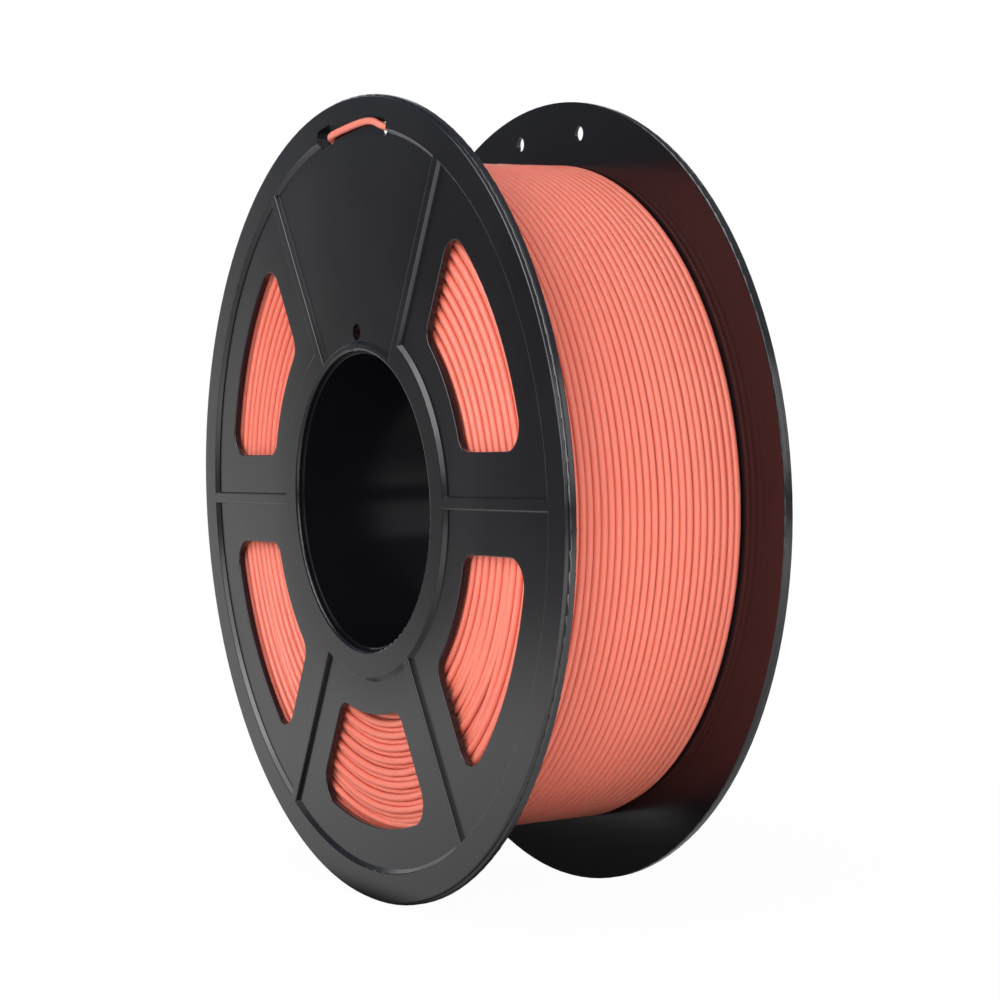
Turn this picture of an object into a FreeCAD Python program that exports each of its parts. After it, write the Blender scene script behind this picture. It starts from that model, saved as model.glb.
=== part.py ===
import FreeCAD, Part
import math
import os

# Filament spool, millimetres.
# The spool's axis is Y, the front flange is on the -Y side and +Z is up.
# The origin is the middle of the bore, half way between the flanges.
# Angles are measured in the XZ plane from +X towards +Z.

# Overall sizes
FLANGE_RADIUS = 100.0
OVERALL_WIDTH = 59.6

# Flange sheet and the ribs, rim band and hub band that stand out of it
PLATE_THICKNESS = 1.8
RAISE_HEIGHT = 0.9
RIM_STEP = 0.5
RIM_BAND_WIDTH = 7.3
RAISE_SLOPE = 1.0
RIM_ROUND = 0.4
EDGE_ROUND = 0.3
SHEET_EDGE_ROUND = 0.45
RIB_COUNT = 6
RIB_WIDTH = 2.6
RIB_SLOPE = 0.3
HUB_BAND_WIDTH = 5.0
HUB_RING_WIDTH = 1.8
HUB_RING_SLOPE = 0.7

# Hub
BORE_RADIUS = 36.5
BARREL_WALL = 3.0
BARREL_END_ROUND = 0.4
MOUTH_CLEARANCE = 0.7
MOUTH_ROUND = 0.8
SEAT_DEPTH = 1.2
SEAT_CLEARANCE = 0.1

# Windows in five of the six fields, between the feet of the hub band and the rim band
WINDOW_HUB_MARGIN = 8.2
WINDOW_RIM_MARGIN = 9.9
WINDOW_RIB_OFFSET = 11.8
WINDOW_CORNER_INNER = 4.5
WINDOW_CORNER_OUTER = 6.0
WINDOW_EDGE_ROUND = 0.25
PLAIN_FIELD_ANGLE = 90.0

# Hole for the inner end of the filament
ANCHOR_HOLE_CLEARANCE = 1.225
ANCHOR_HOLE_OFFSET = 2.5

# Pocket in the rim band with two holes, where the outer end is parked
POCKET_ANGLE = 88.6
POCKET_HALF_ANGLE = 12.0
POCKET_RIM_MARGIN = 4.5
POCKET_WIDTH = 4.6
POCKET_CORNER = 2.0
POCKET_FLOOR = 0.8
POCKET_HOLE_CLEARANCE = 1.0
POCKET_HOLE_INSET = 2.8
POCKET_HOLE_END_ANGLE = 2.7

# Filament and winding
FILAMENT_DIAMETER = 1.75
WINDING_DEPTH = 16.0
WINDING_END_GAP = 0.3
CORE_CLEARANCE = 0.1
NOTCH_FLOOR_GAP = 0.5
NOTCH_SIDE_GAP = 0.8

# Outer end of the filament, parked in the pocket
PARK_RUN_OFFSET = 0.9
PARK_LEAD = 9.8
PARK_FLOOR_GAP = 0.1
PARK_SLANT = 25.0
PARK_CORNER_SHIFT = -1.1
PARK_APPROACH = 3.6
PARK_END_LENGTH = 6.0
TIP_DROP = 4.2
ARC_SHARE = 0.45

# How far a cutter runs past a face, and how near an edge lies to where it is looked for
CUT_OVERRUN = 1.0
EDGE_MATCH = 0.001

# Sizes that follow
HALF_WIDTH = OVERALL_WIDTH / 2
PANEL_PLANE = HALF_WIDTH - RAISE_HEIGHT
INNER_PLANE = PANEL_PLANE - PLATE_THICKNESS
RAISED_LEVEL = PLATE_THICKNESS + RAISE_HEIGHT
MOUTH_RADIUS = BORE_RADIUS + MOUTH_CLEARANCE
BARREL_RADIUS = BORE_RADIUS + BARREL_WALL
SEAT_RADIUS = BARREL_RADIUS + SEAT_CLEARANCE
RIM_BAND_OUTER = FLANGE_RADIUS - RIM_STEP
RIM_BAND_INNER = RIM_BAND_OUTER - RIM_BAND_WIDTH
RIM_BAND_FOOT = RIM_BAND_INNER - RAISE_SLOPE
HUB_RING_OUTER = MOUTH_RADIUS + HUB_RING_WIDTH
HUB_BAND_OUTER = HUB_RING_OUTER + HUB_BAND_WIDTH
HUB_BAND_FOOT = HUB_BAND_OUTER + RAISE_SLOPE
FIELD_ANGLE = 360.0 / RIB_COUNT
WINDOW_FIELDS = RIB_COUNT - 1
WINDOW_INNER_RADIUS = HUB_BAND_FOOT + WINDOW_HUB_MARGIN
WINDOW_OUTER_RADIUS = RIM_BAND_FOOT - WINDOW_RIM_MARGIN
TURN_RADIUS = FILAMENT_DIAMETER / 2
ANCHOR_HOLE_RADIUS = TURN_RADIUS + ANCHOR_HOLE_CLEARANCE
ANCHOR_PLACE = BARREL_RADIUS + ANCHOR_HOLE_OFFSET
POCKET_OUTER_RADIUS = RIM_BAND_OUTER - POCKET_RIM_MARGIN
POCKET_INNER_RADIUS = POCKET_OUTER_RADIUS - POCKET_WIDTH
POCKET_HOLE_RADIUS = TURN_RADIUS + POCKET_HOLE_CLEARANCE
POCKET_HOLE_PLACE = POCKET_OUTER_RADIUS - POCKET_HOLE_INSET
POCKET_HOLE_HALF_ANGLE = POCKET_HALF_ANGLE - POCKET_HOLE_END_ANGLE
WINDING_RADIUS = FLANGE_RADIUS - WINDING_DEPTH
WINDING_HALF_WIDTH = INNER_PLANE - WINDING_END_GAP
LAYER_RADIUS = WINDING_RADIUS - TURN_RADIUS
LAYER_BORE = WINDING_RADIUS - FILAMENT_DIAMETER
LAST_TURN_LEVEL = TURN_RADIUS - WINDING_HALF_WIDTH
CORE_RADIUS = LAYER_BORE - CORE_CLEARANCE
CORE_BORE = BARREL_RADIUS + CORE_CLEARANCE
PARK_RUN_RADIUS = POCKET_HOLE_PLACE + PARK_RUN_OFFSET
TIP_RADIUS = POCKET_HOLE_PLACE - TIP_DROP

AXIS = FreeCAD.Vector(0, 1, 0)
ORIGIN = FreeCAD.Vector(0, 0, 0)


def at(radius, angle, y=0.0):
    """Point at a radius and an angle in degrees round the spool's axis."""
    turn = math.radians(angle)
    return FreeCAD.Vector(radius * math.cos(turn), y, radius * math.sin(turn))


def around(angle):
    """Unit vector along the circumference, towards larger angles."""
    return at(1.0, angle + 90.0)


def turned(shape, angle):
    """Copy of a shape turned about the spool's axis towards larger angles."""
    copy = shape.copy()
    copy.rotate(ORIGIN, AXIS, -angle)
    return copy


def rounded_outline(corners):
    """Closed wire through (point, fillet radius) corners."""
    count = len(corners)
    arcs = []
    starts = []
    ends = []
    for i in range(count):
        point, radius = corners[i]
        before = (corners[i - 1][0] - point).normalize()
        after = (corners[(i + 1) % count][0] - point).normalize()
        if radius <= 0:
            starts.append(point)
            ends.append(point)
            arcs.append(None)
            continue
        half = before.getAngle(after) / 2
        reach = radius / math.tan(half)
        inward = (before + after).normalize()
        middle = point + inward * (radius / math.sin(half) - radius)
        starts.append(point + before * reach)
        ends.append(point + after * reach)
        arcs.append(Part.Arc(starts[i], middle, ends[i]).toShape())
    outline = []
    for i in range(count):
        if arcs[i] is not None:
            outline.append(arcs[i])
        following = starts[(i + 1) % count]
        if ends[i].distanceToPoint(following) > EDGE_MATCH:
            outline.append(Part.LineSegment(ends[i], following).toShape())
    return Part.Wire(outline)


def turned_solid(profile, start=0.0, sweep=360.0):
    """Solid of revolution of (radius, level, fillet) points about the spool's axis."""
    corners = [(FreeCAD.Vector(r, level, 0), fillet) for r, level, fillet in profile]
    solid = Part.Face(rounded_outline(corners)).revolve(ORIGIN, AXIS, -sweep)
    return turned(solid, start)


def flange_disc():
    """Flange sheet with its rim band and the ring round its mouth, as one turned shape."""
    return turned_solid([
        (SEAT_RADIUS, 0, 0),
        (FLANGE_RADIUS, 0, EDGE_ROUND),
        (FLANGE_RADIUS, PLATE_THICKNESS, SHEET_EDGE_ROUND),
        (RIM_BAND_OUTER, PLATE_THICKNESS, 0),
        (RIM_BAND_OUTER, RAISED_LEVEL, RIM_ROUND),
        (RIM_BAND_INNER, RAISED_LEVEL, EDGE_ROUND),
        (RIM_BAND_FOOT, PLATE_THICKNESS, 0),
        (HUB_RING_OUTER + HUB_RING_SLOPE, PLATE_THICKNESS, 0),
        (HUB_RING_OUTER, RAISED_LEVEL, EDGE_ROUND),
        (MOUTH_RADIUS, RAISED_LEVEL, MOUTH_ROUND),
        (MOUTH_RADIUS, SEAT_DEPTH, 0),
        (SEAT_RADIUS, SEAT_DEPTH, 0),
    ])


def hub_band():
    """Raised band round the hub, which leaves out the plain field."""
    return turned_solid(
        [
            (HUB_RING_OUTER - EDGE_ROUND, SEAT_DEPTH, 0),
            (HUB_BAND_FOOT, SEAT_DEPTH, 0),
            (HUB_BAND_FOOT, PLATE_THICKNESS, 0),
            (HUB_BAND_OUTER, RAISED_LEVEL, EDGE_ROUND),
            (HUB_RING_OUTER - EDGE_ROUND, RAISED_LEVEL, 0),
        ],
        PLAIN_FIELD_ANGLE + FIELD_ANGLE / 2,
        360.0 - FIELD_ANGLE,
    )


def rib(angle):
    """Raised radial rib from the ring round the mouth to the rim band."""
    start = HUB_RING_OUTER
    end = RIM_BAND_INNER + EDGE_ROUND
    half = RIB_WIDTH / 2
    foot = half + RIB_SLOPE
    section = rounded_outline([
        (FreeCAD.Vector(start, SEAT_DEPTH, -foot), 0),
        (FreeCAD.Vector(start, SEAT_DEPTH, foot), 0),
        (FreeCAD.Vector(start, PLATE_THICKNESS, foot), 0),
        (FreeCAD.Vector(start, RAISED_LEVEL, half), EDGE_ROUND),
        (FreeCAD.Vector(start, RAISED_LEVEL, -half), EDGE_ROUND),
        (FreeCAD.Vector(start, PLATE_THICKNESS, -foot), 0),
    ])
    bar = Part.Face(section).extrude(FreeCAD.Vector(end - start, 0, 0))
    return turned(bar, angle)


def window_corner(radius, side):
    """Angle from a window's middle line to where its side meets a radius."""
    return side * (FIELD_ANGLE / 2 - math.degrees(math.asin(WINDOW_RIB_OFFSET / radius)))


def corner_edges(blank, corners):
    """Edges of a cutter that run along Y through the given corners of its outline."""
    chosen = []
    for edge in blank.Edges:
        middle = edge.CenterOfMass
        for corner in corners:
            if math.hypot(middle.x - corner.x, middle.z - corner.z) < EDGE_MATCH:
                chosen.append(edge)
    return chosen


def window_blank(angle):
    """Cutter for one window: two arcs and two sides parallel to the neighbouring ribs."""
    inner = window_corner(WINDOW_INNER_RADIUS, 1)
    outer = window_corner(WINDOW_OUTER_RADIUS, 1)
    corners = [
        at(WINDOW_INNER_RADIUS, -inner),
        at(WINDOW_OUTER_RADIUS, -outer),
        at(WINDOW_OUTER_RADIUS, outer),
        at(WINDOW_INNER_RADIUS, inner),
    ]
    outline = Part.Wire([
        Part.LineSegment(corners[0], corners[1]).toShape(),
        Part.Arc(corners[1], at(WINDOW_OUTER_RADIUS, 0), corners[2]).toShape(),
        Part.LineSegment(corners[2], corners[3]).toShape(),
        Part.Arc(corners[3], at(WINDOW_INNER_RADIUS, 0), corners[0]).toShape(),
    ])
    blank = Part.Face(outline).extrude(AXIS * (PLATE_THICKNESS + 2 * CUT_OVERRUN))
    blank.translate(AXIS * -CUT_OVERRUN)
    blank = blank.makeFillet(WINDOW_CORNER_OUTER, corner_edges(blank, corners[1:3]))
    blank = blank.makeFillet(WINDOW_CORNER_INNER, corner_edges(blank, [corners[0], corners[3]]))
    return turned(blank, angle)


def window_edges(flange):
    """Edges round the windows' mouths on both faces of the sheet."""
    low = WINDOW_INNER_RADIUS - EDGE_MATCH
    high = WINDOW_OUTER_RADIUS + EDGE_MATCH
    chosen = []
    for edge in flange.Edges:
        level = edge.BoundBox.YMin
        flat = edge.BoundBox.YLength < EDGE_MATCH
        on_face = min(abs(level), abs(level - PLATE_THICKNESS)) < EDGE_MATCH
        radii = [math.hypot(v.Point.x, v.Point.z) for v in edge.Vertexes]
        if flat and on_face and min(radii) > low and max(radii) < high:
            chosen.append(edge)
    return chosen


def pocket_blank():
    """Cutter for the pocket in the rim band, with rounded corners towards the rim."""
    top = RAISED_LEVEL + CUT_OVERRUN
    blank = turned_solid(
        [
            (POCKET_INNER_RADIUS, POCKET_FLOOR, 0),
            (POCKET_OUTER_RADIUS, POCKET_FLOOR, 0),
            (POCKET_OUTER_RADIUS, top, 0),
            (POCKET_INNER_RADIUS, top, 0),
        ],
        POCKET_ANGLE - POCKET_HALF_ANGLE,
        2 * POCKET_HALF_ANGLE,
    )
    ends = (POCKET_ANGLE - POCKET_HALF_ANGLE, POCKET_ANGLE + POCKET_HALF_ANGLE)
    corners = [at(POCKET_OUTER_RADIUS, angle) for angle in ends]
    return blank.makeFillet(POCKET_CORNER, corner_edges(blank, corners))


def through_hole(radius, place, angle):
    """Cutter for a round hole through the flange."""
    base = at(place, angle, -CUT_OVERRUN)
    return Part.makeCylinder(radius, RAISED_LEVEL + 2 * CUT_OVERRUN, base, AXIS)


def flange_blank():
    """One flange with its inner face at level 0 and its outer face upwards along +Y."""
    parts = [hub_band()]
    for i in range(RIB_COUNT):
        parts.append(rib(i * FIELD_ANGLE))
    flange = flange_disc().fuse(parts)
    cutters = []
    for i in range(1, WINDOW_FIELDS + 1):
        cutters.append(window_blank(PLAIN_FIELD_ANGLE + i * FIELD_ANGLE))
    cutters.append(pocket_blank())
    for side in (-1, 1):
        angle = POCKET_ANGLE + side * POCKET_HOLE_HALF_ANGLE
        cutters.append(through_hole(POCKET_HOLE_RADIUS, POCKET_HOLE_PLACE, angle))
    cutters.append(through_hole(ANCHOR_HOLE_RADIUS, ANCHOR_PLACE, PLAIN_FIELD_ANGLE))
    flange = flange.cut(cutters).removeSplitter()
    return flange.makeFillet(WINDOW_EDGE_ROUND, window_edges(flange))


def rear_flange():
    """Flange on the +Y side."""
    flange = flange_blank()
    flange.translate(AXIS * INNER_PLANE)
    return flange


def front_flange():
    """Flange on the -Y side, the mirror image of the other one."""
    return rear_flange().mirror(ORIGIN, AXIS)


def hub_barrel():
    """Tube between the two flanges; its bore takes the spindle."""
    end = INNER_PLANE + SEAT_DEPTH
    return turned_solid([
        (BORE_RADIUS, -end, BARREL_END_ROUND),
        (BARREL_RADIUS, -end, BARREL_END_ROUND),
        (BARREL_RADIUS, end, BARREL_END_ROUND),
        (BORE_RADIUS, end, BARREL_END_ROUND),
    ])


def winding_core():
    """Inner layers of filament as one plain solid."""
    return turned_solid([
        (CORE_BORE, -WINDING_HALF_WIDTH, 0),
        (CORE_RADIUS, -WINDING_HALF_WIDTH, 0),
        (CORE_RADIUS, WINDING_HALF_WIDTH, 0),
        (CORE_BORE, WINDING_HALF_WIDTH, 0),
    ])


def leave_angle():
    """Angle where the parked end leaves the outer layer on a tangent towards its hole."""
    hole_angle = POCKET_ANGLE - POCKET_HOLE_HALF_ANGLE
    return hole_angle - math.degrees(math.acos(LAYER_RADIUS / POCKET_HOLE_PLACE))


def leave_notch():
    """Cutter for the notch in the outer layer's front edge where the parked end leaves it."""
    floor = LAYER_BORE - NOTCH_FLOOR_GAP
    depth = WINDING_RADIUS - floor + CUT_OVERRUN
    width = FILAMENT_DIAMETER + NOTCH_SIDE_GAP + CUT_OVERRUN
    length = math.sqrt(WINDING_RADIUS ** 2 - floor ** 2) + CUT_OVERRUN
    corner = FreeCAD.Vector(floor, -WINDING_HALF_WIDTH - CUT_OVERRUN, 0)
    return turned(Part.makeBox(depth, width, length, corner), leave_angle())


def winding_outer_layer():
    """Outer layer of turns as one plain solid of its outer shape, one filament thick."""
    layer = turned_solid([
        (LAYER_BORE, -WINDING_HALF_WIDTH, 0),
        (WINDING_RADIUS, -WINDING_HALF_WIDTH, TURN_RADIUS),
        (WINDING_RADIUS, WINDING_HALF_WIDTH, TURN_RADIUS),
        (LAYER_BORE, WINDING_HALF_WIDTH, 0),
    ])
    return layer.cut(leave_notch())


def parked_points():
    """Route of the parked end: off the last turn, out, along the pocket and in again."""
    plate_middle = -(INNER_PLANE + POCKET_FLOOR / 2)
    run_level = -(INNER_PLANE + POCKET_FLOOR + PARK_FLOOR_GAP + TURN_RADIUS)
    slope = math.tan(math.radians(PARK_SLANT))
    rise = abs(run_level - plate_middle)
    low_hole = POCKET_ANGLE - POCKET_HOLE_HALF_ANGLE
    high_hole = POCKET_ANGLE + POCKET_HOLE_HALF_ANGLE
    forward = math.degrees((rise * slope + PARK_CORNER_SHIFT) / PARK_RUN_RADIUS)
    back = math.degrees(PARK_APPROACH * slope / POCKET_HOLE_PLACE)
    approach_radius = LAYER_RADIUS / math.cos(math.radians(low_hole - back - leave_angle()))
    inner_level = plate_middle + PARK_APPROACH
    third = (high_hole - low_hole - 2 * forward) / 3
    start = at(LAYER_RADIUS, leave_angle(), LAST_TURN_LEVEL)
    return [
        start,
        start + around(leave_angle()) * PARK_LEAD,
        at(approach_radius, low_hole - back, inner_level),
        at(PARK_RUN_RADIUS, low_hole + forward, run_level),
        at(PARK_RUN_RADIUS, low_hole + forward + third, run_level),
        at(PARK_RUN_RADIUS, high_hole - forward - third, run_level),
        at(PARK_RUN_RADIUS, high_hole - forward, run_level),
        at(POCKET_HOLE_PLACE - slope * PARK_APPROACH / 2, high_hole + back, inner_level),
        at(TIP_RADIUS, high_hole + back + math.degrees(PARK_END_LENGTH / TIP_RADIUS), inner_level),
    ]


def arc_by_corner(start, corner, end):
    """Arc that leaves start towards corner and reaches end, both as far from corner."""
    into = corner - start
    half_turn = into.getAngle(end - corner) / 2
    radius = into.Length / math.tan(half_turn)
    inward = ((start + end) * 0.5 - corner).normalize()
    middle = corner + inward * (radius / math.cos(half_turn) - radius)
    return Part.Arc(start, middle, end).toShape()


def rounded_path(points):
    """Straight runs joined by tangent arcs as large as their runs allow, radii printed."""
    edges = []
    radii = []
    start = points[0]
    for i in range(1, len(points) - 1):
        before = points[i] - points[i - 1]
        after = points[i + 1] - points[i]
        half_turn = before.getAngle(after) / 2
        reach = ARC_SHARE * min(before.Length, after.Length)
        radii.append(round(reach / math.tan(half_turn), 1))
        arc_start = points[i] - before.normalize() * reach
        arc_end = points[i] + after.normalize() * reach
        edges.append(Part.LineSegment(start, arc_start).toShape())
        edges.append(arc_by_corner(arc_start, points[i], arc_end))
        start = arc_end
    edges.append(Part.LineSegment(start, points[-1]).toShape())
    print("radii of the parked end", radii)
    return edges


def parked_filament_end():
    """Outer end of the filament, threaded through the pocket's two holes."""
    points = parked_points()
    edges = rounded_path(points)
    section = Part.Wire(Part.Circle(points[0], points[1] - points[0], TURN_RADIUS).toShape())
    solid = Part.Wire(edges).makePipeShell([section], True, False)
    length = sum(edge.Length for edge in edges)
    share = solid.Volume / (math.pi * TURN_RADIUS ** 2 * length)
    print("parked end: length", round(length, 1), "share of section times length", round(share, 4))
    return solid


SUBPARTS = {
    "front_flange": front_flange,
    "rear_flange": rear_flange,
    "hub_barrel": hub_barrel,
    "winding_core": winding_core,
    "winding_outer_layer": winding_outer_layer,
    "parked_filament_end": parked_filament_end,
}

os.makedirs("parts", exist_ok=True)
for name, make in SUBPARTS.items():
    shape = make()
    print(name, "valid", shape.isValid(), "solids", len(shape.Solids), "volume", round(shape.Volume, 1))
    shape.exportStep("parts/" + name + ".step")
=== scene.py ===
import bpy
import bmesh
import math
import random
from mathutils import Matrix, Vector

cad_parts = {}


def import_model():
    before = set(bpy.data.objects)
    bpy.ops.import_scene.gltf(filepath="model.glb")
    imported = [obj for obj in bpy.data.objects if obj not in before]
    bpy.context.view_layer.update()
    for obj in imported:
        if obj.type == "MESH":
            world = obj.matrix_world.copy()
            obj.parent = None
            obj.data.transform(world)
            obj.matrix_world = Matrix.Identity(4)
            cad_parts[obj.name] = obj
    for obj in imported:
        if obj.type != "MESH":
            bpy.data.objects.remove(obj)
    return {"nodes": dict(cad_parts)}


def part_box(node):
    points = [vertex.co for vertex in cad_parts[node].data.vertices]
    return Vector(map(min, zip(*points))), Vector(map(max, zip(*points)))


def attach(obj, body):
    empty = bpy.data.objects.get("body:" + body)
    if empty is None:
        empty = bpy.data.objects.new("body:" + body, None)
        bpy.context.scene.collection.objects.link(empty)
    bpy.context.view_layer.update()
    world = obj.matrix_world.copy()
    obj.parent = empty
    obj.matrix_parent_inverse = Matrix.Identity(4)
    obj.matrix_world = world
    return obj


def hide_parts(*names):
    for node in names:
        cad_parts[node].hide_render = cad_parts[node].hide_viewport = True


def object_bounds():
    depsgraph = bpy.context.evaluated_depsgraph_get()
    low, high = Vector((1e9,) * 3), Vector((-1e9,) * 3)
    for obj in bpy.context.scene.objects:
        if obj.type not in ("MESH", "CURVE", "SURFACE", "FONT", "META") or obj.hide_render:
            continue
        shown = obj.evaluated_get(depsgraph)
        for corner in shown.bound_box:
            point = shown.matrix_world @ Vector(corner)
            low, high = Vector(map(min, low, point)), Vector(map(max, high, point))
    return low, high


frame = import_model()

cad_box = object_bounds()

# Filament spool in metres: axis Y, front flange on the -Y side, +Z up.
# Angles are in degrees. Those round the axis go from +X towards +Z.
MM = 0.001
SEED = 7

# Camera, solved from the outlines of the two flanges
CAMERA_AZIMUTH = 61.53
CAMERA_ELEVATION = 1.65
CAMERA_ROLL = -1.90
CAMERA_DISTANCE = 610.7 * MM
CAMERA_LENS = 86.38
CAMERA_SENSOR = 36.0
CAMERA_SHIFT_X = 0.0356
CAMERA_SHIFT_Y = -0.0039
CAMERA_CLIP = (0.01, 20.0)

# Filament and how finely its splines are drawn
FILAMENT_RADIUS = 0.875 * MM
BEVEL_STEPS = 3
WINDING_SPLINE_STEPS = 3
PARKED_SPLINE_STEPS = 12
POINTS_PER_TURN = 40
# The spline touches the middle of each run between control points, so these lie further out
ARC_ALLOWANCE = 1 / math.cos(math.pi / POINTS_PER_TURN)

# Space of the winding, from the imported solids
core_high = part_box("winding_core")[1]
layer_low, layer_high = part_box("winding_outer_layer")
barrel_low, barrel_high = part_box("hub_barrel")
BARREL_CLEARANCE = 0.1 * MM
LAYER_RADIUS = (layer_high.x - layer_low.x) / 2 - FILAMENT_RADIUS
END_LEVEL = core_high.y - FILAMENT_RADIUS
CORE_BORE = (barrel_high.x - barrel_low.x) / 2 + BARREL_CLEARANCE
BODY_FACETS = 144

# Wandering of the strands: how much each wave counts, and the waves per turn
WAVE_WEIGHTS = (0.6, 1.0)
SIDE_WAVES = (0.31, 0.43, 0.61, 0.83, 1.37)
LIFT_WAVES = (0.19, 0.47, 0.71, 1.21)
TURN_BACK_WAVES = (0.6, 1.1, 1.9)

# Layers below the outer one: how far apart they and their turns are
LAYER_STEP = 1.522 * MM
LAYERS = int((LAYER_RADIUS - CORE_BORE - FILAMENT_RADIUS) / LAYER_STEP)
TURN_PITCH = 1.85 * MM

# Where these layers turn back beside a flange: turns drawn on each side of that angle, the climb
# to the next layer, its start in pitches from the flange, and where a route leaves the flange
END_RUN = 1.3
TURN_BACK_ANGLES = (195.0, 330.0)
CLIMB_ANGLE = 50.0
NEXT_START = 0.5
LEAVES_AFTER = 320.0
LEAVES_OVER = 70.0
SIDE_PUSH = (0.25 * MM, 0.42 * MM)
RADIUS_SWAY = 0.09 * MM

# Outer layer: its lead lies a layer lower beside the rear flange. It climbs there, stays beside
# that flange, winds forwards, and stays beside the front flange until the parked end leaves it
OUTER_TURNS = 28
LAYER_START_ANGLE = -50.0
START_LEAD = 200.0
START_DWELL = 90.0
END_DWELL = 240.0
SIDE_SWAY = 0.09 * MM
LIFT_SWAY = 0.05 * MM
# The sway sets in over the first 1/8 of the way forwards, and dies out over the last 1/12
SWAY_START = 8
SWAY_END = 12
TURNS_BELOW = OUTER_TURNS - 0.8

# Parked end: the hole it comes out of, and its levels behind the front flange and in the pocket
HOLE_PLACE = 92.2 * MM
EXIT_HOLE_ANGLE = 79.3
LEAVE_ANGLE = EXIT_HOLE_ANGLE - math.degrees(math.acos(LAYER_RADIUS / HOLE_PLACE))
PARK_LEAD = 9.8 * MM
BEHIND_LEVEL = -23.9 * MM
POCKET_LEVEL = -28.875 * MM
# Radius, angle and level of its control points: out of the right hole, along the pocket, and
# in at the left hole
PARK_ROUTE = (
    (91.42 * MM, 78.26, BEHIND_LEVEL),
    (92.5 * MM, 79.0, POCKET_LEVEL),
    (93.7 * MM, 82.2, POCKET_LEVEL),
    (93.4 * MM, 86.0, POCKET_LEVEL),
    (92.6 * MM, 93.0, POCKET_LEVEL),
    (92.6 * MM, 98.18, POCKET_LEVEL),
    (91.36 * MM, 98.94, BEHIND_LEVEL),
    (88.0 * MM, 102.85, BEHIND_LEVEL),
)

# Finishes: the two colours of the patches, and what the grain is like
BLACK = ((0.0034, 0.0033, 0.0046), (0.0048, 0.0046, 0.0062))
CORAL = ((0.71, 0.176, 0.121), (0.75, 0.203, 0.142))
GRAIN_DETAIL = 3.0
GRAIN_DEPTH = 0.02 * MM
PATCH_DETAIL = 4.0
PATCH_SPAN = (0.3, 0.7)
HUB_SPAN = (43 * MM, 56 * MM)
HUB_GLOSS = (0.35, 0.49)
BORE_GLOSS = 0.08
CORAL_GLOW_WEIGHT = 0.6
CORAL_GLOW_DEPTH = 0.8 * MM
CORAL_GLOW_COLOURS = (1.0, 0.35, 0.2)

# Light and surroundings
WHITE = (1, 1, 1, 1)

# Studio round the spool. A bright wall stands where the front faces mirror it, the right half is
# paler than the left, and above the horizon there is a faint bluish light. Each is faded in over
# a span: of the cosine to the wall's middle, of X, and of Z.
WALL_WAY = (-0.883, 0.321, -0.342)
WALL_SPAN = (0.63, 0.705)
WALL_STRENGTH = (0.03, 0.96)
PALE_SPAN = (-0.5, 0.1)
PALE_STRENGTH = (0.0, 0.26)
SKY_COLOUR = (0.70, 0.80, 1.0, 1)
SKY_SPAN = (0.07, 0.16)
SKY_STRENGTH = (0.0, 0.20)

# Floor as the camera sees it: matte near the spool for the contact shadow, white further out.
# Spans are distances from the spool's middle.
FLOOR_REACH = 8.0
FLOOR_MATTE = (0.9, 0.9, 0.9, 1)
SHADOW_SPAN = (0.11, 0.24)
SHADOW_WHITE = (0.975, 1.0)

# Floor as the spool mirrors it: it glows more towards the left and towards the right front. It has a
# painted shadow, a dimmed glow in a strip beneath the spool that goes on to the left, and ends where it
# has faded out.
LEFT_WAY = (-0.91, -0.41, 0.0)
LEFT_SPAN = (0.05, 0.30)
LEFT_STRENGTH = (0.66, 0.90)
RIGHT_WAY = (0.85, -0.5, 0.0)
RIGHT_SPAN = (0.03, 0.22)
RIGHT_STRENGTH = (0.0, 1.5)
# Painted shadow: these set the strip beneath the spool where the floor's glow is dimmed
PAINTED_SHADOW_X_SPAN = (0.0, 0.08)
PAINTED_SHADOW_X_RESULT = (0.0, 0.09)
PAINTED_SHADOW_Y_SPAN = (-1.0, 1.0)
PAINTED_SHADOW_Y_RESULT = (-2.1, 2.1)
PAINTED_SHADOW_EDGE = (0.064, 0.092)
PAINTED_SHADOW_STRENGTH = (0.08, 1.0)
FADE_SPAN = (0.35, 0.95)


def at(radius, angle, y=0.0):
    """Point at a radius and an angle round the spool's axis."""
    turn = math.radians(angle)
    return Vector((radius * math.cos(turn), y, radius * math.sin(turn)))


def eased(share):
    """Goes from 0 to 1 with a soft start and a soft end, and stays there outside."""
    share = min(max(share, 0.0), 1.0)
    return share * share * (3 - 2 * share)


class Sway:
    """Smooth wandering value of an angle: a sum of seeded waves, about -1 to 1."""

    def __init__(self, rates):
        self.waves = [
            (rate, random.uniform(0, 2 * math.pi), random.uniform(*WAVE_WEIGHTS)) for rate in rates]
        self.total = sum(weight for _, _, weight in self.waves)

    def __call__(self, angle):
        turn = math.radians(angle)
        waves = sum(weight * math.sin(rate * turn + phase) for rate, phase, weight in self.waves)
        return waves / self.total


def link(obj):
    """Puts an object into the scene."""
    bpy.context.scene.collection.objects.link(obj)
    return obj


def strands(name, routes, material, steps=WINDING_SPLINE_STEPS):
    """Filament along one or more routes, each a smooth open spline through its control points."""
    curve = bpy.data.curves.new(name, "CURVE")
    curve.dimensions = "3D"
    for route in routes:
        spline = curve.splines.new("NURBS")
        spline.points.add(len(route) - 1)
        for target, point in zip(spline.points, route):
            target.co = (*point, 1.0)
        spline.order_u = 3
        spline.use_endpoint_u = True
    curve.resolution_u = steps
    curve.bevel_depth = FILAMENT_RADIUS
    curve.bevel_resolution = BEVEL_STEPS
    curve.use_fill_caps = True
    curve.materials.append(material)
    obj = link(bpy.data.objects.new(name, curve))
    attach(obj, "root")
    return obj


def coil(first, last, place):
    """Control points from one running angle to another; place gives radius and level at an angle."""
    count = round((last - first) / 360.0 * POINTS_PER_TURN)
    points = []
    for i in range(count + 1):
        angle = first + (last - first) * i / count
        radius, level = place(angle)
        if 0 < i < count:
            radius *= ARC_ALLOWANCE
        points.append(at(radius, angle, level))
    return points


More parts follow.
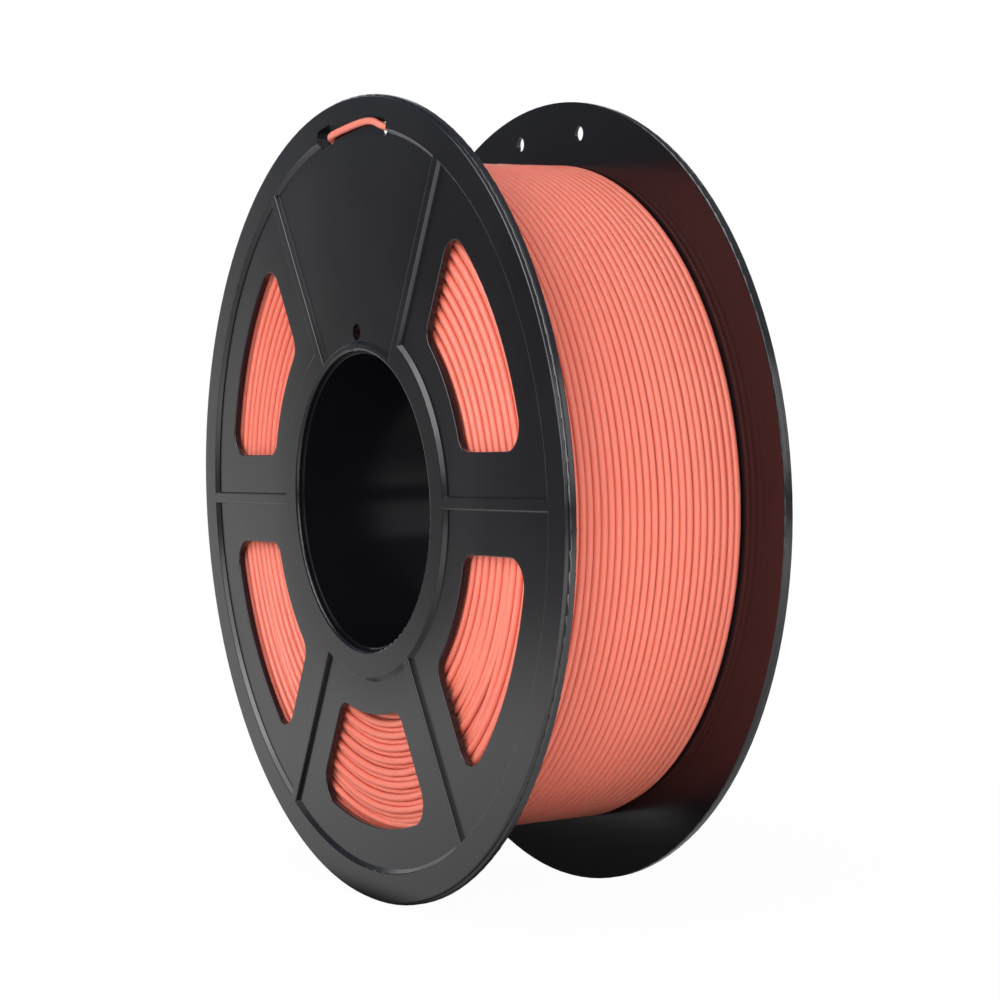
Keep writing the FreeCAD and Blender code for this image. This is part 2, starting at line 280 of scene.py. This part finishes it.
def camera():
    """Camera at the photograph's angle."""
    a = math.radians(CAMERA_AZIMUTH)
    e = math.radians(CAMERA_ELEVATION)
    r = math.radians(CAMERA_ROLL)
    back = Vector((math.sin(a) * math.cos(e), -math.cos(a) * math.cos(e), math.sin(e)))
    level_right = Vector((math.cos(a), math.sin(a), 0.0))
    level_up = back.cross(level_right)
    right = level_right * math.cos(r) + level_up * math.sin(r)
    up = back.cross(right)
    data = bpy.data.cameras.new("camera")
    data.lens = CAMERA_LENS
    data.sensor_width = CAMERA_SENSOR
    data.shift_x = CAMERA_SHIFT_X
    data.shift_y = CAMERA_SHIFT_Y
    data.clip_start, data.clip_end = CAMERA_CLIP
    obj = link(bpy.data.objects.new("camera", data))
    turn = Matrix((right, up, back)).transposed().to_4x4()
    obj.matrix_world = Matrix.Translation(back * CAMERA_DISTANCE) @ turn
    bpy.context.scene.camera = obj


class Nodes:
    """Adds nodes to a tree, and sets or links their inputs."""

    def __init__(self, tree):
        self.tree = tree

    def add(self, kind, **inputs):
        """New node; each keyword is one of its inputs or, failing that, one of its settings."""
        node = self.tree.nodes.new(kind)
        for key, value in inputs.items():
            name = key.replace("_", " ")
            if name in node.inputs:
                self.feed(node.inputs[name], value)
            else:
                setattr(node, key, value)
        return node

    def feed(self, socket, value):
        """Links another node's output to an input, or sets the input's own value."""
        if isinstance(value, bpy.types.NodeSocket):
            self.tree.links.new(value, socket)
        else:
            socket.default_value = value

    def spread(self, value, span, result, smooth=False):
        """Maps a value from a span to a range of results, and holds it at their ends."""
        node = self.add("ShaderNodeMapRange", Value=value)
        node.interpolation_type = "SMOOTHSTEP" if smooth else "LINEAR"
        for name, number in zip(("From Min", "From Max", "To Min", "To Max"), (*span, *result)):
            node.inputs[name].default_value = number
        return node.outputs["Result"]

    def joined(self, kind, first, second=None, result="Value", **settings):
        """Output of a node that works on two inputs, or only on the first."""
        node = self.add(kind, **settings)
        self.feed(node.inputs[0], first)
        if second is not None:
            self.feed(node.inputs[1], second)
        return node.outputs[result]

    def sum(self, first, second):
        return self.joined("ShaderNodeMath", first, second, operation="ADD")

    def product(self, first, second):
        return self.joined("ShaderNodeMath", first, second, operation="MULTIPLY")

    def along(self, place, way):
        """How far a place or a direction lies along a way."""
        return self.joined("ShaderNodeVectorMath", place, way, operation="DOT_PRODUCT")

    def length(self, vector):
        return self.joined("ShaderNodeVectorMath", vector, operation="LENGTH")

    def mixed(self, share, first, second):
        """Shader that goes from the first to the second as the share goes from 0 to 1."""
        node = self.add("ShaderNodeMixShader")
        for socket, value in zip(node.inputs, (share, first, second)):
            self.feed(socket, value)
        return node.outputs["Shader"]


def grain_group():
    """Moulded grain: a height for the bump and a mask of broad, faint differences."""
    tree = bpy.data.node_groups.new("moulded grain", "ShaderNodeTree")
    for name in ("Grain Size", "Patch Size"):
        tree.interface.new_socket(name=name, in_out="INPUT", socket_type="NodeSocketFloat")
    for name in ("Height", "Patches"):
        tree.interface.new_socket(name=name, in_out="OUTPUT", socket_type="NodeSocketFloat")
    n = Nodes(tree)
    inputs = n.add("NodeGroupInput").outputs
    outputs = n.add("NodeGroupOutput").inputs
    place = n.add("ShaderNodeTexCoord").outputs["Object"]
    grain = n.add("ShaderNodeTexNoise", Vector=place, Scale=inputs["Grain Size"], Detail=GRAIN_DETAIL)
    patches = n.add("ShaderNodeTexNoise", Vector=place, Scale=inputs["Patch Size"], Detail=PATCH_DETAIL)
    n.feed(outputs["Height"], grain.outputs["Fac"])
    n.feed(outputs["Patches"], patches.outputs["Fac"])
    return tree


def plastic(name, grain, grain_size, patch_size, colours, roughness, bump, ior):
    """Plastic with fine grain: two colours and two degrees of gloss mixed by broad patches."""
    material = bpy.data.materials.new(name)
    material.use_nodes = True
    n = Nodes(material.node_tree)
    shader = n.tree.nodes["Principled BSDF"]
    texture = n.add("ShaderNodeGroup", node_tree=grain)
    texture.inputs["Grain Size"].default_value = grain_size
    texture.inputs["Patch Size"].default_value = patch_size
    patches = texture.outputs["Patches"]
    mix = n.add("ShaderNodeMix", data_type="RGBA")
    # Its colours are the inputs 6 and 7, and the output 2
    n.feed(mix.inputs["Factor"], patches)
    n.feed(mix.inputs[6], (*colours[0], 1.0))
    n.feed(mix.inputs[7], (*colours[1], 1.0))
    n.feed(shader.inputs["Base Color"], mix.outputs[2])
    n.feed(shader.inputs["Roughness"], n.spread(patches, PATCH_SPAN, roughness))
    dents = n.add("ShaderNodeBump", Height=texture.outputs["Height"], Strength=bump, Distance=GRAIN_DEPTH)
    n.feed(shader.inputs["Normal"], dents.outputs["Normal"])
    shader.inputs["IOR"].default_value = ior
    return material


def flange_finish(grain):
    """Black moulded plastic, with a duller gloss round the hub."""
    material = plastic(
        "black moulded plastic", grain, grain_size=4500.0, patch_size=25.0, colours=BLACK,
        roughness=(0.17, 0.21), bump=0.15, ior=1.5)
    n = Nodes(material.node_tree)
    place = n.add("ShaderNodeTexCoord").outputs["Object"]
    flat = n.joined("ShaderNodeVectorMath", place, (1.0, 0.0, 1.0), "Vector", operation="MULTIPLY")
    gloss = n.spread(n.length(flat), HUB_SPAN, HUB_GLOSS, smooth=True)
    n.feed(n.tree.nodes["Principled BSDF"].inputs["Specular IOR Level"], gloss)
    return material


def barrel_finish(grain):
    """Black smooth plastic with little gloss, as the bore looks."""
    material = plastic(
        "black smooth plastic", grain, grain_size=4500.0, patch_size=18.0, colours=BLACK,
        roughness=(0.16, 0.20), bump=0.05, ior=1.5)
    material.node_tree.nodes["Principled BSDF"].inputs["Specular IOR Level"].default_value = BORE_GLOSS
    return material


def filament_finish(grain):
    """Satin coral plastic that lets a little light through."""
    material = plastic(
        "coral filament", grain, grain_size=2500.0, patch_size=60.0, colours=CORAL,
        roughness=(0.42, 0.50), bump=0.15, ior=1.46)
    shader = material.node_tree.nodes["Principled BSDF"]
    shader.inputs["Subsurface Weight"].default_value = CORAL_GLOW_WEIGHT
    shader.inputs["Subsurface Scale"].default_value = CORAL_GLOW_DEPTH
    shader.inputs["Subsurface Radius"].default_value = CORAL_GLOW_COLOURS
    return material


def outer_layer(material):
    """Outer layer: comes up beside the rear flange, and ends where the parked end leaves it."""
    last = LEAVE_ANGLE + 360.0 * OUTER_TURNS
    first_turn = LAYER_START_ANGLE + START_DWELL
    last_turn = last - END_DWELL
    side = Sway(SIDE_WAVES)
    lift = Sway(LIFT_WAVES)

    def place(angle):
        run = min(max((angle - first_turn) / (last_turn - first_turn), 0.0), 1.0)
        loose = eased(SWAY_START * run) * eased(SWAY_END * (1 - run))
        level = END_LEVEL * (1 - 2 * run) + SIDE_SWAY * side(angle) * loose
        climb = eased((angle - LAYER_START_ANGLE + CLIMB_ANGLE) / CLIMB_ANGLE)
        radius = LAYER_RADIUS - LAYER_STEP * (1 - climb) - LIFT_SWAY * (1 + lift(angle)) * loose
        return radius, level

    obj = strands("winding_turns", [coil(LAYER_START_ANGLE - START_LEAD, last, place)], material)
    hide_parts("winding_outer_layer")


def layer_below(material):
    """Layer under the outer one, wound the other way, which shows between its turns."""
    last = 360.0 * TURNS_BELOW

    def place(angle):
        return LAYER_RADIUS - LAYER_STEP, END_LEVEL * (2 * (angle / last) - 1)

    strands("winding_layer_below", [coil(0.0, last, place)], material)


def side_turns(name, side, top_layer, material):
    """Last turns of the layers beside one flange, as they show through its windows.

    Each route ends one layer against the flange, climbs, and starts the next one half a pitch away.
    Every second layer ends there, so the other flange has the layers between.
    """
    routes = []
    for layer in range(top_layer, 0, -2):
        turn_back = random.uniform(*TURN_BACK_ANGLES)
        push = random.uniform(*SIDE_PUSH)
        sway = Sway(TURN_BACK_WAVES)
        lower = LAYER_RADIUS - LAYER_STEP * (LAYERS - layer + 1)

        def place(angle):
            run = angle - turn_back
            climb = eased(run / CLIMB_ANGLE + 0.5)
            away = NEXT_START * climb + eased((abs(run) - LEAVES_AFTER) / LEAVES_OVER)
            radius = lower + LAYER_STEP * climb + RADIUS_SWAY * sway(angle)
            return radius, side * (END_LEVEL - push - TURN_PITCH * away)

        routes.append(coil(turn_back - 360.0 * END_RUN, turn_back + 360.0 * END_RUN, place))
    strands(name, routes, material)


def wound_body(material):
    """Wound body under the turns: a turned solid a little inside them."""
    bm = bmesh.new()
    outer = LAYER_RADIUS - LAYER_STEP - FILAMENT_RADIUS
    half = END_LEVEL - TURN_PITCH
    corners = [(CORE_BORE, -half), (outer, -half), (outer, half), (CORE_BORE, half)]
    verts = [bm.verts.new((radius, level, 0.0)) for radius, level in corners]
    edges = [bm.edges.new((verts[i - 1], verts[i])) for i in range(4)]
    bmesh.ops.spin(
        bm, geom=verts + edges, cent=(0, 0, 0), axis=(0, 1, 0), angle=2 * math.pi,
        steps=BODY_FACETS, use_merge=True)
    bmesh.ops.recalc_face_normals(bm, faces=bm.faces)
    mesh = bpy.data.meshes.new("winding_body")
    bm.to_mesh(mesh)
    bm.free()
    mesh.materials.append(material)
    obj = link(bpy.data.objects.new("winding_body", mesh))
    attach(obj, "root")
    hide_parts("winding_core")


def parked_end(material):
    """Outer end of the filament: up from the last turn, along the rim's pocket and back in."""
    start = at(LAYER_RADIUS, LEAVE_ANGLE, -END_LEVEL)
    lead = start + PARK_LEAD * at(1.0, LEAVE_ANGLE + 90.0)
    route = [start, lead] + [at(*stop) for stop in PARK_ROUTE]
    obj = strands("parked_loop", [route], material, steps=PARKED_SPLINE_STEPS)
    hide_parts("parked_filament_end")


def dress(node, material):
    """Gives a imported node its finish."""
    mesh = frame["nodes"][node].data
    mesh.materials.clear()
    mesh.materials.append(material)
    mesh.polygons.foreach_set("material_index", [0] * len(mesh.polygons))


def world():
    """Surroundings: plain white for the camera, and a dim studio with a bright wall for the light."""
    scene_world = bpy.data.worlds.new("studio")
    bpy.context.scene.world = scene_world
    scene_world.use_nodes = True
    n = Nodes(scene_world.node_tree)
    n.tree.nodes.clear()
    way = n.add("ShaderNodeTexCoord").outputs["Generated"]
    sides = n.add("ShaderNodeSeparateXYZ", Vector=way).outputs
    wall = n.spread(n.along(way, WALL_WAY), WALL_SPAN, WALL_STRENGTH, smooth=True)
    pale = n.spread(sides["X"], PALE_SPAN, PALE_STRENGTH, smooth=True)
    walls = n.add("ShaderNodeBackground", Strength=n.sum(wall, pale), Color=WHITE)
    sky = n.add(
        "ShaderNodeBackground", Strength=n.spread(sides["Z"], SKY_SPAN, SKY_STRENGTH), Color=SKY_COLOUR)
    lit = n.joined("ShaderNodeAddShader", walls.outputs[0], sky.outputs[0], "Shader")
    seen = n.add("ShaderNodeBackground", Strength=1.0, Color=WHITE).outputs[0]
    by_camera = n.add("ShaderNodeLightPath").outputs["Is Camera Ray"]
    n.add("ShaderNodeOutputWorld", Surface=n.mixed(by_camera, lit, seen))


def lamp(name, place, size, radiance):
    """Rectangular soft light that faces the spool, as bright as a panel of this radiance."""
    data = bpy.data.lights.new(name, "AREA")
    data.shape = "RECTANGLE"
    data.size, data.size_y = size
    data.energy = radiance * math.pi * size[0] * size[1]
    obj = link(bpy.data.objects.new(name, data))
    obj.location = place
    obj.rotation_euler = (-Vector(place)).to_track_quat("-Z", "Y").to_euler()
    return obj


def floor_glow(n, place):
    """Strength of the floor's light: more at the left and the right front, with a painted shadow that
    dims it beneath the spool.
    """
    left = n.spread(n.along(place, LEFT_WAY), LEFT_SPAN, LEFT_STRENGTH)
    right = n.spread(n.along(place, RIGHT_WAY), RIGHT_SPAN, RIGHT_STRENGTH, smooth=True)
    sides = n.add("ShaderNodeSeparateXYZ", Vector=place).outputs
    # Painted shadow: the floor's glow is dimmed in a strip beneath the spool and to its left
    painted_shadow_place = n.add(
        "ShaderNodeCombineXYZ", X=n.spread(sides["X"], PAINTED_SHADOW_X_SPAN, PAINTED_SHADOW_X_RESULT),
        Y=n.spread(sides["Y"], PAINTED_SHADOW_Y_SPAN, PAINTED_SHADOW_Y_RESULT))
    painted_shadow = n.spread(n.length(painted_shadow_place.outputs["Vector"]), PAINTED_SHADOW_EDGE, PAINTED_SHADOW_STRENGTH, smooth=True)
    return n.product(n.sum(left, right), painted_shadow)


def floor():
    """Plain pale floor with a faint contact shadow."""
    bm = bmesh.new()
    bmesh.ops.create_grid(bm, x_segments=1, y_segments=1, size=FLOOR_REACH)
    bmesh.ops.translate(bm, verts=bm.verts, vec=(0, 0, cad_box[0][2]))
    mesh = bpy.data.meshes.new("floor")
    bm.to_mesh(mesh)
    bm.free()
    material = bpy.data.materials.new("pale floor")
    material.use_nodes = True
    n = Nodes(material.node_tree)
    n.tree.nodes.clear()
    place = n.add("ShaderNodeTexCoord").outputs["Object"]
    far = n.length(place)
    matte = n.add("ShaderNodeBsdfDiffuse", Color=FLOOR_MATTE).outputs[0]
    plain = n.add("ShaderNodeEmission", Color=WHITE, Strength=1.0).outputs[0]
    seen = n.mixed(n.spread(far, SHADOW_SPAN, SHADOW_WHITE, smooth=True), matte, plain)
    glow = n.add("ShaderNodeEmission", Color=WHITE, Strength=floor_glow(n, place)).outputs[0]
    nothing = n.add("ShaderNodeBsdfTransparent").outputs[0]
    lit = n.mixed(n.spread(far, FADE_SPAN, (0.0, 1.0), smooth=True), glow, nothing)
    by_camera = n.add("ShaderNodeLightPath").outputs["Is Camera Ray"]
    n.add("ShaderNodeOutputMaterial", Surface=n.mixed(by_camera, lit, seen))
    mesh.materials.append(material)
    link(bpy.data.objects.new("floor", mesh))


def lamps():
    """Soft studio light from the right, the front, the side and above."""
    lamp("key_light", place=(1.20, -0.85, 0.45), size=(0.9, 0.9), radiance=5.1)
    lamp("front_light", place=(0.18, -1.25, 0.74), size=(1.15, 1.15), radiance=2.9)
    lamp("side_light", place=(1.30, 0.72, 0.42), size=(0.7, 0.7), radiance=1.9)
    lamp("top_light", place=(0.20, -0.35, 1.50), size=(1.2, 1.2), radiance=0.6)
    # Seen only in reflections: it draws the light lines on the rim and the hub band
    edge_light = lamp("edge_light", place=(-0.05, -1.10, 1.10), size=(1.5, 1.1), radiance=3.4)
    edge_light.visible_diffuse = False


def main():
    random.seed(SEED)
    camera()
    world()
    floor()
    lamps()
    grain = grain_group()
    flange_plastic = flange_finish(grain)
    barrel_plastic = barrel_finish(grain)
    coral = filament_finish(grain)
    dress("front_flange", flange_plastic)
    dress("rear_flange", flange_plastic)
    dress("hub_barrel", barrel_plastic)
    outer_layer(coral)
    layer_below(coral)
    side_turns("front_side_turns", -1, LAYERS - 1, coral)
    side_turns("rear_side_turns", 1, LAYERS - 2, coral)
    wound_body(coral)
    parked_end(coral)
    bpy.context.scene.view_settings.view_transform = "Standard"


main()
